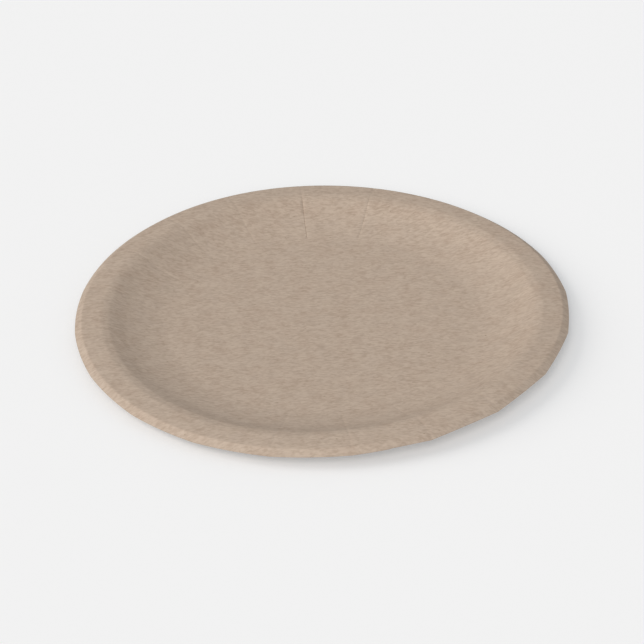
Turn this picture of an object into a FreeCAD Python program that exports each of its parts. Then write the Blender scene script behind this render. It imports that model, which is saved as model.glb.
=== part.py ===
import FreeCAD, Part
import Sketcher

import math
import os

# A round paper plate pressed from one sheet of brown board: a flat floor, a soft
# wall, a rim that falls a little outwards and a short skirt turned down at the edge.
# Wall, rim and skirt carry radial pleats, where the sheet takes up its slack.
# Origin at the centre of the underside, +Z up, millimetres and degrees.

SIZES = (
    ("edge_diameter", 178.0, "across the edge, over two opposite pleats"),
    ("board", 0.45, "thickness of the sheet"),
    ("well_depth", 7.6, "floor up to the sharp corner of wall and rim"),
    ("wall_width", 13.5, "foot corner to rim corner, seen from above"),
    ("rim_width", 8.5, "rim corner to skirt corner, seen from above"),
    ("rim_fall", 0.5, "how far the rim drops towards the skirt"),
    ("skirt_width", 2.7, "skirt corner to the edge, seen from above"),
    ("skirt_slope", 38.0, "skirt below the horizontal, degrees"),
    ("foot_bend", 36.0, "radius between floor and wall"),
    ("rim_bend", 7.0, "radius between wall and rim"),
    ("skirt_bend", 1.0, "radius between rim and skirt"),
    ("pleat_count", 20, "pleats around the plate"),
    ("pleat_turn", 5.5, "turn of the first pleat from +X, degrees"),
    ("crease_width", 0.5, "crease line of a pleat at the edge, on the eating side"),
    ("crease_depth", 0.12, "depth of the crease line"),
    ("edge_flat", 0.45, "how far the edge draws in between two pleats"),
)

# A sketch's root point and axes, and the ends of a line or an arc.
ROOT = -1
Y_AXIS = -2
START = 1
END = 2
CENTRE = 3
Z_WAY = FreeCAD.Vector(0, 0, 1)

# Places in the row of pieces that make one layer of the sheet.
FLOOR_PIECE = 0
FOOT_PIECE = 1

doc = FreeCAD.newDocument("paper_plate")
sizes = doc.addObject("Spreadsheet::Sheet", "sizes")
size = {}
for row, (alias, number, meaning) in enumerate(SIZES, start=1):
    sizes.set("A%d" % row, alias)
    sizes.set("B%d" % row, str(number))
    sizes.set("C%d" % row, meaning)
    sizes.setAlias("B%d" % row, alias)
    size[alias] = number
doc.recompute()

# Where the middle of the sheet would turn if its bends were sharp: as numbers for the
# first guess of each sketch, and as expressions for its dimensions.
edge_x = size["edge_diameter"] / 2
blank_x = edge_x + size["edge_flat"]
skirt_x = edge_x - size["skirt_width"]
rim_x = skirt_x - size["rim_width"]
foot_x = rim_x - size["wall_width"]
floor_z = size["board"] / 2
rim_z = floor_z + size["well_depth"]
skirt_z = rim_z - size["rim_fall"]

EDGE_X = "sizes.edge_diameter / 2"
BLANK_X = EDGE_X + " + sizes.edge_flat"
SKIRT_X = EDGE_X + " - sizes.skirt_width"
RIM_X = SKIRT_X + " - sizes.rim_width"
FOOT_X = RIM_X + " - sizes.wall_width"
FLOOR_Z = "sizes.board / 2"
RIM_Z = FLOOR_Z + " + sizes.well_depth"
SKIRT_Z = RIM_Z + " - sizes.rim_fall"


def at(x, y):
    """A point of a sketch."""
    return FreeCAD.Vector(x, y, 0)


def add_sketch(name, role):
    """An empty sketch on the body's own origin plane of this role."""
    sketch = plate.newObject("Sketcher::SketchObject", name)
    plane = [item for item in plate.Origin.OriginFeatures if item.Role == role][0]
    sketch.AttachmentSupport = [(plane, "")]
    sketch.MapMode = "FlatFace"
    return sketch


def fix(sketch, *rule):
    """Adds a geometric constraint."""
    return sketch.addConstraint(Sketcher.Constraint(*rule))


def measure(sketch, name, expression, *rule):
    """Adds a dimension, names it and binds it to the sheet."""
    index = fix(sketch, *rule)
    sketch.renameConstraint(index, name)
    sketch.setExpression("Constraints." + name, expression)


def join(sketch, here, there):
    """A straight piece between two ends, each given as a piece and its end."""
    line = Part.LineSegment(sketch.getPoint(*here), sketch.getPoint(*there))
    piece = sketch.addGeometry(line, False)
    fix(sketch, "Coincident", piece, START, *here)
    fix(sketch, "Coincident", piece, END, *there)
    return piece


def draw_form(sketch):
    """The middle of the sheet with sharp corners, as construction lines."""
    drop = (blank_x - skirt_x) * math.tan(math.radians(size["skirt_slope"]))
    corners = (
        at(0, floor_z),
        at(foot_x, floor_z),
        at(rim_x, rim_z),
        at(skirt_x, skirt_z),
        at(blank_x, skirt_z - drop),
    )
    form = [
        sketch.addGeometry(Part.LineSegment(here, there), True)
        for here, there in zip(corners, corners[1:])
    ]
    floor, wall, rim, skirt = form
    for inner, outer in zip(form, form[1:]):
        fix(sketch, "Coincident", inner, END, outer, START)
    fix(sketch, "PointOnObject", floor, START, Y_AXIS)
    fix(sketch, "Horizontal", floor)
    across = ("DistanceX", ROOT, START)
    above = ("DistanceY", ROOT, START)
    measure(sketch, "floor_z", FLOOR_Z, *above, floor, START, floor_z)
    measure(sketch, "foot_x", FOOT_X, *across, wall, START, foot_x)
    measure(sketch, "rim_x", RIM_X, *across, rim, START, rim_x)
    measure(sketch, "rim_z", RIM_Z, *above, rim, START, rim_z)
    measure(sketch, "skirt_x", SKIRT_X, *across, skirt, START, skirt_x)
    measure(sketch, "skirt_z", SKIRT_Z, *above, skirt, START, skirt_z)
    measure(sketch, "blank_x", BLANK_X, *across, skirt, END, blank_x)
    fall = -math.radians(size["skirt_slope"])
    measure(sketch, "skirt_fall", "-sizes.skirt_slope", "Angle", skirt, fall)
    return form, corners


def draw_layer(sketch, form, corners, name, height, height_text, first):
    """The form's line at a signed height off the middle of the sheet, with its bends.

    Its pieces are floor, foot bend, wall, rim bend, rim, skirt bend and skirt; those
    before the first one wanted are construction. Returns the ends that stay open."""
    ways = [(there - here).normalize() for here, there in zip(corners, corners[1:])]
    ups = [at(-way.y, way.x) for way in ways]
    bends = (("foot_bend", -1), ("rim_bend", 1), ("skirt_bend", 1))
    ends = [corners[0] + ups[0] * height]
    arcs = []
    for i, (bend, side) in enumerate(bends):
        radius = size[bend] + side * height
        spread = 1 + ups[i].dot(ups[i + 1])
        corner = corners[i + 1] + (ups[i] + ups[i + 1]) * (height / spread)
        reach = radius * ways[i].cross(ways[i + 1]).Length / spread
        inner = corner - ways[i] * reach
        outer = corner + ways[i + 1] * reach
        centre = inner - ups[i] * (side * radius)
        ends += [inner, outer]
        turn = (outer, inner) if side > 0 else (inner, outer)
        angles = [math.atan2(point.y - centre.y, point.x - centre.x) for point in turn]
        circle = Part.Circle(centre, Z_WAY, radius)
        arcs.append(Part.ArcOfCircle(circle, *angles))
    ends.append(corners[-1] + ups[-1] * height)
    lines = [Part.LineSegment(here, there) for here, there in zip(ends[0::2], ends[1::2])]

    chain = []
    for order in range(len(lines) + len(arcs)):
        shape = arcs[order // 2] if order % 2 else lines[order // 2]
        piece = sketch.addGeometry(shape, order < first)
        backwards = order % 2 and bends[order // 2][1] > 0
        chain.append((piece, END, START) if backwards else (piece, START, END))
    for (piece, near, far), (following, its_near, its_far) in zip(chain, chain[1:]):
        fix(sketch, "Tangent", piece, far, following, its_near)
    for (bend, side), (arc, near, far) in zip(bends, chain[1::2]):
        text = "sizes.%s + %d * (%s)" % (bend, side, height_text)
        measure(sketch, name + "_" + bend, text, "Radius", arc, size[bend] + side * height)
    for (run, near, far), line in zip(chain[0::2], form):
        fix(sketch, "Parallel", run, line)
        label = "%s_off_%d" % (name, line)
        measure(sketch, label, "abs(%s)" % height_text, "Distance", run, near, line, abs(height))
    fix(sketch, "PointOnObject", chain[0][0], START, Y_AXIS)
    return (chain[first][0], chain[first][1]), (chain[-1][0], chain[-1][2])


def draw_band(name, upper, upper_text, lower, lower_text, first):
    """A sketch of the closed strip between two layers, in the plane of a pleat."""
    sketch = add_sketch(name, "XZ_Plane")
    form, corners = draw_form(sketch)
    high_inner, high_outer = draw_layer(sketch, form, corners, "upper", upper, upper_text, first)
    low_inner, low_outer = draw_layer(sketch, form, corners, "lower", lower, lower_text, first)
    join(sketch, low_inner, high_inner)
    end = join(sketch, low_outer, high_outer)
    fix(sketch, "Perpendicular", end, form[-1])
    fix(sketch, "PointOnObject", form[-1], END, end)
    return sketch


def polar(radius, angle):
    """A point of a sketch, by its radius and angle."""
    return at(radius * math.cos(angle), radius * math.sin(angle))


# The sheet itself: its section turned once around the axis.
plate = doc.addObject("PartDesign::Body", "plate")
plate.Label = "plate"
half = size["board"] / 2
section = draw_band("section", half, "sizes.board / 2", -half, "-sizes.board / 2", FLOOR_PIECE)
sheet = plate.newObject("PartDesign::Revolution", "sheet")
sheet.Profile = section
sheet.ReferenceAxis = (section, ["V_Axis"])
sheet.Angle = 360
doc.recompute()

# The edge reaches out at each pleat and draws in between two: what lies outside a
# ring of flatter arcs, each from one pleat to the next, is cut away.
pitch = 2 * math.pi / size["pleat_count"]
near_x = edge_x - size["edge_flat"]
far_x = blank_x + size["skirt_width"]
edge_line = add_sketch("edge_line", "XY_Plane")
middle = edge_line.addGeometry(Part.LineSegment(at(0, 0), polar(near_x, pitch / 2)), True)
rays = []
arcs = []
for order in range(size["pleat_count"]):
    turn = order * pitch
    ray = Part.LineSegment(at(0, 0), polar(edge_x, turn))
    rays.append(edge_line.addGeometry(ray, True))
    points = (polar(edge_x, turn), polar(near_x, turn + pitch / 2), polar(edge_x, turn + pitch))
    arcs.append(edge_line.addGeometry(Part.ArcOfCircle(*points), False))
outside = edge_line.addGeometry(Part.Circle(at(0, 0), Z_WAY, far_x), False)
fix(edge_line, "Coincident", outside, CENTRE, ROOT, START)
measure(edge_line, "far_x", BLANK_X + " + sizes.skirt_width", "Radius", outside, far_x)
for line in [middle] + rays:
    fix(edge_line, "Coincident", line, START, ROOT, START)
fix(edge_line, "Horizontal", rays[0])
measure(edge_line, "edge_x", EDGE_X, "Distance", rays[0], edge_x)
for ray, following in zip(rays, rays[1:]):
    fix(edge_line, "Equal", ray, following)
    rule = ("Angle", ray, START, following, START, pitch)
    measure(edge_line, "pitch_%d" % ray, "360 / sizes.pleat_count", *rule)
for arc, ray, following in zip(arcs, rays, rays[1:] + rays[:1]):
    fix(edge_line, "Coincident", arc, START, ray, END)
    fix(edge_line, "Coincident", arc, END, following, END)
for arc in arcs[1:]:
    fix(edge_line, "Equal", arcs[0], arc)
rule = ("Angle", rays[0], START, middle, START, pitch / 2)
measure(edge_line, "half_pitch", "180 / sizes.pleat_count", *rule)
measure(edge_line, "near_x", EDGE_X + " - sizes.edge_flat", "Distance", middle, near_x)
fix(edge_line, "PointOnObject", middle, END, arcs[0])
trimmed = plate.newObject("PartDesign::Pocket", "trimmed")
trimmed.Profile = edge_line
trimmed.Type = "ThroughAll"
trimmed.Reversed = True
doc.recompute()

# The crease of one pleat, pressed into the eating side from the foot of the wall out
# to the edge, and the same crease all around the plate. Its two sides run towards the
# axis, so it narrows inwards.
crease_line = draw_band(
    "crease_line",
    half + size["crease_depth"],
    "sizes.board / 2 + sizes.crease_depth",
    half - size["crease_depth"],
    "sizes.board / 2 - sizes.crease_depth",
    FOOT_PIECE,
)
crease = plate.newObject("PartDesign::Groove", "crease")
crease.Profile = crease_line
crease.ReferenceAxis = (crease_line, ["V_Axis"])
crease.Midplane = True
crease.setExpression("Angle", "2 * atan(sizes.crease_width / sizes.edge_diameter)")
doc.recompute()
creases = plate.newObject("PartDesign::PolarPattern", "creases")
creases.Originals = [crease]
creases.Axis = (section, ["V_Axis"])
creases.Angle = 360
creases.setExpression("Occurrences", "sizes.pleat_count")
plate.Tip = creases
plate.setExpression("Placement.Rotation.Angle", "sizes.pleat_turn")
doc.recompute()

# Every step has to have removed or added what it should before anything is written.
for item in doc.Objects:
    if "Invalid" in item.State or "Error" in item.State:
        raise RuntimeError("%s did not build: %s" % (item.Name, item.State))
for sketch in (section, edge_line, crease_line):
    if not sketch.FullyConstrained:
        raise RuntimeError("%s is not fully sized" % sketch.Name)
volumes = [step.Shape.Volume for step in (sheet, trimmed, crease, creases)]
if sorted(volumes, reverse=True) != volumes or len(set(volumes)) < len(volumes):
    raise RuntimeError("a cut removed nothing: %s" % volumes)
if plate.Shape.isNull() or not plate.Shape.isValid() or len(plate.Shape.Solids) != 1:
    raise RuntimeError("the plate is not one sound solid")

os.makedirs("parts", exist_ok=True)
plate.Shape.exportStep("parts/%s.step" % plate.Label)
print("plate: %.1f mm3, height %.2f mm" % (plate.Shape.Volume, plate.Shape.optimalBoundingBox().ZMax))
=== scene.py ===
import math

import bmesh
import bpy
from mathutils import Matrix


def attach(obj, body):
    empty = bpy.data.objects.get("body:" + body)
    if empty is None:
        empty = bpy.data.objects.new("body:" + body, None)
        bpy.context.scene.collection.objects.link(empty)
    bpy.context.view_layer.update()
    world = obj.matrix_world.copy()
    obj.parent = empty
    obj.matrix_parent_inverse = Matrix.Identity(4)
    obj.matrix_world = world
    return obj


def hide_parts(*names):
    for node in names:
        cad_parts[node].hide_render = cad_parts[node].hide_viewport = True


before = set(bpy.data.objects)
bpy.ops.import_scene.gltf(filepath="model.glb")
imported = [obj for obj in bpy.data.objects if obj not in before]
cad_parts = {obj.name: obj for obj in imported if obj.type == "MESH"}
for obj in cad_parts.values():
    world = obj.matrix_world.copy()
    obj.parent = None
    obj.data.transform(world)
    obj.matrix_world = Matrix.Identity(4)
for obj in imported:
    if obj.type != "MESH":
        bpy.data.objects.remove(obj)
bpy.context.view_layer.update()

# The plate: a disc of brown kraft board that heated dies press in one stroke to a flat
# floor, soft wall, rim and turned-down skirt, with its slack taken up in pleats. FOOT,
# RIM, SKIRT and EDGE are the radii of its corners before they are rounded.
MM = 0.001
BOARD = 0.45 * MM
FOOT = 64.3 * MM
RIM = 77.8 * MM
SKIRT = 86.3 * MM
EDGE = 88.83 * MM
WELL_DEPTH = 7.59 * MM
RIM_FALL = 0.5 * MM
SKIRT_SLOPE = math.radians(38)
FOOT_BEND = 36.0 * MM
RIM_BEND = 7.0 * MM
SKIRT_BEND = 1.0 * MM
PLEATS = 20
PLEAT_TURN = 5.5
PITCH = 360 / PLEATS
CREASE_HALF = 0.3 * MM
CREASE_DEPTH = 0.06 * MM
CREASE_START = 58.3 * MM  # nearer the axis than this, no crease shows
SLIPPED = {5: (-1, 0.14 * MM), 4: (-2, 0.06 * MM)}  # pleat: degrees off its place, deeper by
EDGE_FLAT = 0.45 * MM  # the edge draws in by this between two sharp folds
SHARP_SIDE = -28  # degrees from +X to the middle of the side with sharp folds
SHARP_SPREAD = 48  # degrees that this side reaches each way
BLUNT_SHARE = 0.35  # share of EDGE_FLAT on the other sides
BLUNT_BACK = 0.18 * MM  # how much further in the whole edge lies there
WARP = 1.8 * MM  # the most that the rim sags
TOUCH = 0.001 * MM  # points closer than this lie in one place


def pick(mode, wanted):
    """Selects the vertices or edges of the mesh in edit mode that wanted() says yes to."""
    bpy.ops.mesh.select_mode(type=mode)
    bpy.ops.mesh.select_all(action="DESELECT")
    shape = bmesh.from_edit_mesh(bpy.context.edit_object.data)
    if mode == "VERT":
        for corner in shape.verts:
            corner.select_set(wanted(corner.co))
    else:
        for edge in shape.edges:
            if wanted(edge.verts[0].co, edge.verts[1].co):
                edge.select_set(True)
    bmesh.update_edit_mesh(bpy.context.edit_object.data)


def reach(point):
    """How far a point is from the plate's axis."""
    return math.hypot(point.x, point.y)


def off_line(point, bearing):
    """Degrees from a point to a line that runs out from the axis."""
    return abs((math.degrees(math.atan2(point.y, point.x)) - bearing + 180) % 360 - 180)


def off_pleat(point):
    """Degrees from a point to the nearest pleat."""
    turn = (math.degrees(math.atan2(point.y, point.x)) - PLEAT_TURN) % PITCH
    return min(turn, PITCH - turn)


def press_outwards(here, there, rise):
    """Extrudes the open ring from one radius to the next and lifts or drops it."""
    bpy.ops.mesh.extrude_edges_move(TRANSFORM_OT_translate={"value": (0, 0, rise)})
    bpy.ops.transform.resize(value=(there / here, there / here, 1))


def round_ring(radius, bend, turn, steps):
    """Bevels the sharp ring at a radius to a bend of the sheet."""
    pick("EDGE", lambda a, b: max(abs(reach(a) - radius), abs(reach(b) - radius)) < TOUCH)
    bpy.ops.mesh.bevel(
        offset=bend * math.tan(turn / 2),
        offset_type="OFFSET",
        segments=steps,
        profile=0.5,
        clamp_overlap=False,
    )


bpy.ops.object.select_all(action="DESELECT")
bpy.ops.mesh.primitive_circle_add(
    vertices=360,
    radius=FOOT,
    fill_type="NGON",
    rotation=(0, 0, math.radians(PLEAT_TURN)),
)
plate = bpy.context.object
plate.name = "pressed_plate"
bpy.ops.object.transform_apply(location=False, rotation=True, scale=False)
bpy.ops.object.mode_set(mode="EDIT")
bpy.ops.mesh.select_mode(type="EDGE")
bpy.ops.mesh.select_all(action="SELECT")
bpy.ops.transform.translate(value=(0, 0, BOARD / 2))
press_outwards(FOOT, RIM, WELL_DEPTH)
press_outwards(RIM, SKIRT, -RIM_FALL)
press_outwards(SKIRT, EDGE, -(EDGE - SKIRT) * math.tan(SKIRT_SLOPE))
wall_slope = math.atan2(WELL_DEPTH, RIM - FOOT)
rim_slope = math.atan2(RIM_FALL, SKIRT - RIM)
round_ring(FOOT, FOOT_BEND, wall_slope, 12)
round_ring(RIM, RIM_BEND, wall_slope + rim_slope, 10)
round_ring(SKIRT, SKIRT_BEND, SKIRT_SLOPE - rim_slope, 5)
bpy.ops.mesh.select_mode(type="EDGE")
bpy.ops.mesh.select_all(action="SELECT")
bpy.ops.mesh.normals_make_consistent(inside=False)

# Each pleat: the line of edges up the wall and over the rim is doubled to a narrow
# strip, and its middle is pushed in. Two on the far wall lie a degree or two off their
# even places, and are deeper on the wall than the others.
for order in range(PLEATS):
    slip, deeper = SLIPPED.get(order, (0, 0))
    bearing = PLEAT_TURN + order * PITCH + slip
    pick(
        "EDGE",
        lambda a, b: off_line(a, bearing) < 0.01
        and off_line(b, bearing) < 0.01
        and abs(reach(a) - reach(b)) > TOUCH,
    )
    bpy.ops.mesh.bevel(offset=CREASE_HALF, offset_type="OFFSET", segments=2, clamp_overlap=False)
    pick("VERT", lambda a: off_line(a, bearing) < 0.01 and reach(a) > CREASE_START)
    bpy.ops.transform.translate(value=(0, 0, -CREASE_DEPTH))
    pick("VERT", lambda a: off_line(a, bearing) < 0.01 and CREASE_START < reach(a) < RIM)
    bpy.ops.transform.translate(value=(0, 0, -deeper))

# Between two pleats the cut edge draws in along the skirt. The folds stayed sharp on
# one quarter only. Elsewhere they opened again, so the edge is rounder there and lies
# a little further in.
for sharp, share, back in ((True, 1, 0), (False, BLUNT_SHARE, BLUNT_BACK)):
    for away in range(round(PITCH / 2) + 1):
        pick(
            "VERT",
            lambda a: reach(a) > EDGE - 10 * TOUCH
            and abs(off_pleat(a) - away) < 0.5
            and (off_line(a, SHARP_SIDE) < SHARP_SPREAD) == sharp,
        )
        inward = back + share * EDGE_FLAT * (1 - (1 - away / (PITCH / 2)) ** 2)
        bpy.ops.transform.resize(
            value=(1 - inward / EDGE, 1 - inward / EDGE, 1), center_override=(0, 0, 0)
        )
        bpy.ops.transform.translate(value=(0, 0, inward * math.tan(SKIRT_SLOPE)))
bpy.ops.object.mode_set(mode="OBJECT")

# Once out of the press the board relaxes: the rim sinks a little on two opposite
# sides, most at 45 and 225 degrees, and the flat floor not at all.
slack = plate.vertex_groups.new(name="slack")
flat = FOOT - FOOT_BEND * math.tan(wall_slope / 2)
for corner in plate.data.vertices:
    rise = min(max((reach(corner.co) - flat) / (RIM - flat), 0), 1)
    side = 0.5 + corner.co.x * corner.co.y / max(reach(corner.co), MM) ** 2
    slack.add([corner.index], rise**2 * side, "REPLACE")
sag = plate.modifiers.new("sag", "DISPLACE")
sag.direction = "Z"
sag.strength = -WARP
sag.mid_level = 0
sag.vertex_group = slack.name
bpy.ops.object.modifier_apply(modifier=sag.name)

# The sheet gets its thickness, half of it to each side of the line pressed so far.
sheet = plate.modifiers.new("board", "SOLIDIFY")
sheet.thickness = BOARD
sheet.offset = 0
bpy.ops.object.modifier_apply(modifier=sheet.name)
bpy.ops.object.shade_smooth_by_angle(angle=math.radians(35))


def linear(code):
    """An sRGB hex colour, such as 8A6F50, as linear numbers with alpha."""
    parts = [int(code[i:i + 2], 16) / 255 for i in (0, 2, 4)]
    return (*(p / 12.92 if p <= 0.04045 else ((p + 0.055) / 1.055) ** 2.4 for p in parts), 1)


def add(tree, kind, inputs=(), **settings):
    """Adds a node with its settings; an input is a value or another node's output."""
    made = tree.nodes.new(kind)
    for name, value in settings.items():
        setattr(made, name, value)
    for socket, value in dict(inputs).items():
        if isinstance(value, bpy.types.NodeSocket):
            tree.links.new(value, made.inputs[socket])
        else:
            made.inputs[socket].default_value = value
    return made


# Unbleached kraft board: matt, uncoated and uneven, with wood fibres of 1 to 4 mm
# lying every way in the sheet, some lighter and some darker, and a few dark specks.
# A real fibre is a few hundredths of a millimetre wide, so it is drawn much wider.
kraft = bpy.data.materials.new("unbleached_kraft_board")
kraft.use_nodes = True
tree = kraft.node_tree
shader = tree.nodes["Principled BSDF"]
place = add(tree, "ShaderNodeTexCoord").outputs["Object"]
wave = add(
    tree, "ShaderNodeTexNoise", {"Vector": place, "Scale": 1 / (3.0 * MM), "Detail": 1.0}
)
shift = add(
    tree,
    "ShaderNodeVectorMath",
    {0: wave.outputs["Color"], 1: (1.0 * MM, 1.0 * MM, 0)},
    operation="MULTIPLY",
)
curled = add(tree, "ShaderNodeVectorMath", {0: place, 1: shift.outputs[0]}, operation="ADD")


def fibres(angle, length, width, seed, low, high):
    """Strokes of one direction: a noise drawn out to a fibre's length and width in mm."""
    laid = add(
        tree,
        "ShaderNodeMapping",
        {
            "Vector": curled.outputs[0],
            "Rotation": (0, 0, math.radians(angle)),
            "Scale": (1 / (length * MM), 1 / (width * MM), 1 / (40 * MM)),
            "Location": (seed, seed * 1.7, seed * 2.3),
        },
    )
    streak = add(
        tree, "ShaderNodeTexNoise", {"Vector": laid.outputs[0], "Scale": 1.0, "Detail": 0.5}
    )
    return add(
        tree,
        "ShaderNodeMapRange",
        {"Value": streak.outputs["Fac"], "From Min": low, "From Max": high},
        interpolation_type="SMOOTHSTEP",
    ).outputs["Result"]


def most(values):
    """The strongest of several strengths at each point."""
    top = values[0]
    for other in values[1:]:
        top = add(tree, "ShaderNodeMath", {0: top, 1: other}, operation="MAXIMUM").outputs[0]
    return top


light_fibres = most([fibres(a, 2.3, 0.70, 3.1 + a, 0.54, 0.74) for a in (8, 44, 81, 117, 152)])
dark_fibres = most([fibres(a, 2.0, 0.70, 9.4 + a, 0.55, 0.76) for a in (-12, 27, 63, 99, 136)])
flecks = most([fibres(a, 1.4, 0.65, 17.0 + a, 0.80, 0.86) for a in (20, 85, 140)])


def blotch(size, low, high, seed):
    """Soft patches of a size in mm."""
    moved = add(tree, "ShaderNodeVectorMath", {0: place, 1: (seed, seed, 0)}, operation="ADD")
    cloud = add(
        tree,
        "ShaderNodeTexNoise",
        {"Vector": moved.outputs[0], "Scale": 1 / (size * MM), "Detail": 2.0},
    )
    return add(
        tree,
        "ShaderNodeMapRange",
        {"Value": cloud.outputs["Fac"], "From Min": low, "From Max": high},
    ).outputs["Result"]


def tint(below, strength, code, amount):
    """Lays a colour over another where a pattern is strong."""
    scaled = add(tree, "ShaderNodeMath", {0: strength, 1: amount}, operation="MULTIPLY")
    layers = {0: scaled.outputs[0], 6: below, 7: linear(code)}
    return add(tree, "ShaderNodeMix", layers, data_type="RGBA").outputs[2]


colour = tint(linear("B9A99A"), blotch(8.0, 0.4, 0.62, 3.1), "B5A393", 0.8)
colour = tint(colour, blotch(5.0, 0.42, 0.68, 7.7), "BFAF9F", 0.8)
colour = tint(colour, dark_fibres, "9D8B7A", 0.36)
colour = tint(colour, light_fibres, "D1C1B1", 0.38)
colour = tint(colour, flecks, "887663", 0.6)
tree.links.new(colour, shader.inputs["Base Color"])
shader.inputs["Roughness"].default_value = 0.9
shader.inputs["IOR"].default_value = 1.5
shader.inputs["Specular IOR Level"].default_value = 0.2
raised = add(tree, "ShaderNodeMath", {0: light_fibres, 1: dark_fibres}, operation="SUBTRACT")
bump = add(
    tree, "ShaderNodeBump", {"Height": raised.outputs[0], "Distance": 0.03 * MM, "Strength": 0.3}
)
tree.links.new(bump.outputs[0], shader.inputs["Normal"])
plate.data.materials.append(kraft)

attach(plate, "root")
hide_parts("plate")

# What the plate lies on: a matt white studio table with a faint bluish glow of its own. This is
# painted light that keeps the shadow under the rim pale; no lamp lights the table from below. It
# is a hair lower than the plate's underside.
bpy.ops.object.select_all(action="DESELECT")
bpy.ops.mesh.primitive_plane_add(size=12, location=(0, 0, -0.02 * MM))
floor = bpy.context.object
floor.name = "studio_table"
bpy.ops.object.transform_apply(location=True, rotation=False, scale=False)
white = bpy.data.materials.new("matt_white_table_with_painted_glow")
white.use_nodes = True
white_shader = white.node_tree.nodes["Principled BSDF"]
white_shader.inputs["Base Color"].default_value = linear("E8E8E8")
white_shader.inputs["Roughness"].default_value = 0.9
# Painted glow: the table gives off a faint bluish light of its own, though it is no lamp, so the
# shadow under the rim stays pale and cool.
white_shader.inputs["Emission Color"].default_value = (0.90, 1.0, 1.09, 1)
white_shader.inputs["Emission Strength"].default_value = 0.2
floor.data.materials.append(white)

# Studio light: a bright room all around, and two large soft boxes far off, at the left
# and in front, which fill 42 degrees of the view each.
world = bpy.data.worlds.new("bright_room")
bpy.context.scene.world = world
world.use_nodes = True
room = world.node_tree.nodes["Background"]
room.inputs["Color"].default_value = (1, 1, 1, 1)
room.inputs["Strength"].default_value = 0.4
for name, bearing, height, energy in (("left", 178, 29, 1.25), ("front", 260, 40, 1.25)):
    bpy.ops.object.light_add(
        type="SUN",
        rotation=(math.radians(90 - height), 0, math.radians(bearing + 90)),
    )
    softbox = bpy.context.object
    softbox.name = name + "_softbox"
    softbox.data.angle = math.radians(42)
    softbox.data.color = (1.055, 1.0, 0.951)
    softbox.data.energy = energy

# The camera, a long lens a metre away, looking down and leaning a little to one side.
PLACE = (-0.00006, -0.86912, 0.57064)
LOOK_DOWN = 33.264
LEAN = -1.934
bpy.ops.object.camera_add(location=PLACE)
camera = bpy.context.object
tilt = Matrix.Rotation(math.radians(90 - LOOK_DOWN), 4, "X")
roll = Matrix.Rotation(math.radians(LEAN), 4, "Z")
camera.rotation_euler = (tilt @ roll).to_euler()
camera.data.lens = 161.248
camera.data.sensor_width = 36
camera.data.clip_start = 0.01
bpy.context.scene.camera = camera
bpy.context.scene.view_settings.view_transform = "Standard"
